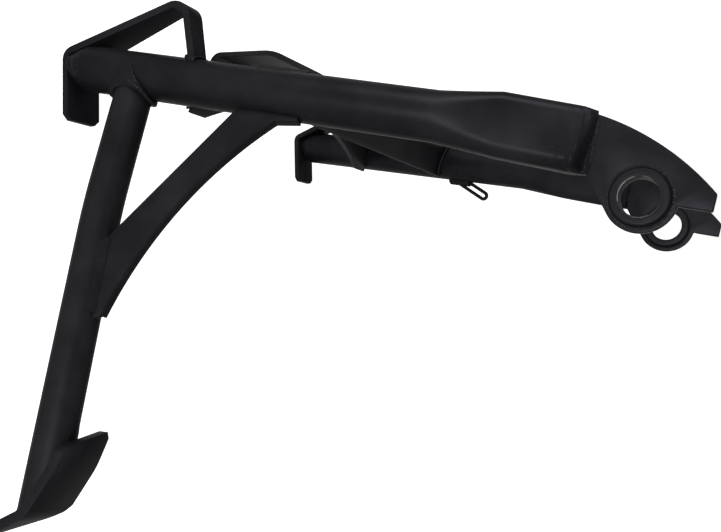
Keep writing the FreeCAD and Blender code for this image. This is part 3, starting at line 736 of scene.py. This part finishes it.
def crimpGroup():
    sockets = {
        "Lump height": "Float",
        "Lump size": "Float",
        "Stretch": "Float",
        "Coat": "Material",
    }
    group, start, end = newGroup("crimp lumps", sockets)
    place = addNode(group, "GeometryNodeInputPosition")
    split = addNode(group, "ShaderNodeSeparateXYZ")
    group.links.new(place.outputs[0], split.inputs[0])
    join = addNode(group, "ShaderNodeCombineXYZ")
    wide = mathNode(group, "MULTIPLY", split.outputs[0], start.outputs["Stretch"])
    group.links.new(wide, join.inputs[0])
    group.links.new(split.outputs[1], join.inputs[1])
    group.links.new(split.outputs[2], join.inputs[2])
    size = start.outputs["Lump size"]
    lump = lumpNode(group, join.outputs[0], size, crimp["lumpDetail"])
    height = mathNode(group, "SUBTRACT", lump, crimp["lumpMiddle"])
    height = mathNode(group, "MULTIPLY", height, crimp["lumpGain"])
    height = mathNode(group, "MULTIPLY", height, start.outputs["Lump height"])
    height = mathNode(group, "MULTIPLY", height, namedValue(group, "near"))
    sway = mathNode(
        group, "MULTIPLY_ADD", lump, crimp["swayGain"], crimp["swayLeast"]
    )
    profile = mathNode(group, "MULTIPLY", namedValue(group, "profile"), sway)
    height = mathNode(group, "ADD", height, profile)
    push = addNode(group, "ShaderNodeCombineXYZ")
    group.links.new(height, push.inputs[1])
    endGroup(group, start, end, push.outputs[0])
    return group


crimpLumps = crimpGroup()


def crimpedLeg(node):
    piece = mergedCopy(node, node + "_crimped")
    roundEdges(piece, crimp["rounding"])
    refine(piece, crimp["edgeLength"], 0, nearCrimp)
    shapes = [crimpShape(vertex.co) for vertex in piece.data.vertices]
    storeValues(piece, "near", [weight for weight, _ in shapes])
    storeValues(piece, "profile", [depth for _, depth in shapes])
    setMaterial(piece, coat)
    values = {
        "Lump height": crimp["lumpHeight"],
        "Lump size": crimp["lumpSize"],
        "Stretch": crimp["lumpStretch"],
        "Coat": coat,
    }
    applyGroup(piece, crimpLumps, values, ["near", "profile"])
    smoothFaces(piece, crimp["sharpAngle"])
    placePiece(piece, node)


for side in ("left", "right"):
    crimpedLeg(side + "_leg_tube")
print("stage: leg tubes closed at the top")


# Pieces kept as the CAD gives them
for node in ("lever_tube", "spring_hanger_loop"):
    piece = nodes[node]
    if not piece.material_slots:
        piece.data.materials.append(coat)
    for place in piece.material_slots:
        place.material = coat
print("stage: carried-over pieces dressed")


# White floor with a soft shadow, and the white world round it
surround = {
    "floorHalf": 6.0,
    "floorGap": 0.0002,
    "floorWhite": 0.82,
    "floorOwnLight": 0.88,
    "floorFarLight": 1.0,
    "floorNear": 0.5,
    "floorFar": 1.7,
    "worldLight": 0.23,
    "backdropSeen": 1.0,
}


# One for rays that come from the camera, a mirror or through glass
def seenRays(tree):
    path = addNode(tree, "ShaderNodeLightPath").outputs
    seen = mathNode(tree, "MAXIMUM", path["Is Camera Ray"], path["Is Glossy Ray"])
    return mathNode(tree, "MAXIMUM", seen, path["Is Transmission Ray"])


def makeFloor():
    half = surround["floorHalf"]
    height = cadLow.z - surround["floorGap"]
    mesh = bpy.data.meshes.new("floor")
    corners = [
        (-half, -half, height),
        (half, -half, height),
        (half, half, height),
        (-half, half, height),
    ]
    mesh.from_pydata(corners, [], [(0, 1, 2, 3)])
    floor = bpy.data.objects.new("floor", mesh)
    bpy.context.scene.collection.objects.link(floor)
    material = bpy.data.materials.new("pale floor")
    tree = newTree(material)
    seen = seenRays(tree)
    matt = addNode(tree, "ShaderNodeBsdfDiffuse")
    pale = surround["floorWhite"]
    setSocket(matt, "Color", (pale, pale, pale, 1.0))
    glow = addNode(tree, "ShaderNodeEmission")
    setSocket(glow, "Color", white)
    place = addNode(tree, "ShaderNodeTexCoord").outputs["Object"]
    reach = addNode(tree, "ShaderNodeVectorMath", operation="LENGTH")
    tree.links.new(place, reach.inputs[0])
    own = rangeNode(
        tree,
        reach.outputs["Value"],
        surround["floorNear"],
        surround["floorFar"],
        surround["floorOwnLight"],
        surround["floorFarLight"],
        smooth=True,
    )
    tree.links.new(mathNode(tree, "MULTIPLY", seen, own), glow.inputs["Strength"])
    both = addNode(tree, "ShaderNodeAddShader")
    tree.links.new(matt.outputs[0], both.inputs[0])
    tree.links.new(glow.outputs[0], both.inputs[1])
    end = addNode(tree, "ShaderNodeOutputMaterial")
    tree.links.new(both.outputs[0], end.inputs["Surface"])
    mesh.materials.append(material)


def makeWorld():
    world = bpy.data.worlds.new("studio world")
    bpy.context.scene.world = world
    tree = newTree(world)
    strength = rangeNode(
        tree, seenRays(tree), 0.0, 1.0, surround["worldLight"], surround["backdropSeen"]
    )
    glow = addNode(tree, "ShaderNodeBackground")
    setSocket(glow, "Color", white)
    tree.links.new(strength, glow.inputs["Strength"])
    end = addNode(tree, "ShaderNodeOutputWorld")
    tree.links.new(glow.outputs[0], end.inputs["Surface"])


# Soft lamps: place, size in metres and watts, all aimed at one point
lampAim = (0.0, 0.0, -0.18)
lamps = {
    "lamp by the camera": ((-0.25, 1.35, 0.10), 0.45, 14.0),
    "lamp in front": ((1.25, 0.75, 0.20), 0.50, 15.0),
    "lamp above": ((0.20, 0.05, 1.40), 1.10, 2.0),
    "lamp behind": ((-1.10, -0.70, 0.70), 0.80, 6.0),
}


def makeLamps():
    for name, (place, size, watts) in lamps.items():
        light = bpy.data.lights.new(name, "AREA")
        light.shape = "DISK"
        light.size = size
        light.energy = watts
        lamp = bpy.data.objects.new(name, light)
        lamp.location = place
        way = Vector(lampAim) - Vector(place)
        lamp.rotation_mode = "QUATERNION"
        lamp.rotation_quaternion = way.to_track_quat("-Z", "Y")
        bpy.context.scene.collection.objects.link(lamp)


# Camera fitted to the photo: right and back are the image's own directions
photoView = {
    "place": (-0.05538, 0.51335, 0.04263),
    "right": (-0.0221, -0.4588, 0.8882),
    "back": (-0.0531, 0.8877, 0.4573),
    "lens": 35.87,
    "sensor": 36.0,
    "clipNear": 0.01,
    "clipFar": 50.0,
}


def makeCamera():
    view = bpy.data.cameras.new("photo camera")
    view.lens = photoView["lens"]
    view.sensor_width = photoView["sensor"]
    view.clip_start = photoView["clipNear"]
    view.clip_end = photoView["clipFar"]
    camera = bpy.data.objects.new("photo camera", view)
    bpy.context.scene.collection.objects.link(camera)
    right = Vector(photoView["right"]).normalized()
    back = Vector(photoView["back"]).normalized()
    up = back.cross(right).normalized()
    right = up.cross(back)
    turn = Matrix((right, up, back)).transposed().to_4x4()
    camera.matrix_world = Matrix.Translation(Vector(photoView["place"])) @ turn
    bpy.context.scene.camera = camera


makeFloor()
makeWorld()
makeLamps()
makeCamera()
bpy.context.scene.view_settings.view_transform = "Standard"
print("stage: studio set")
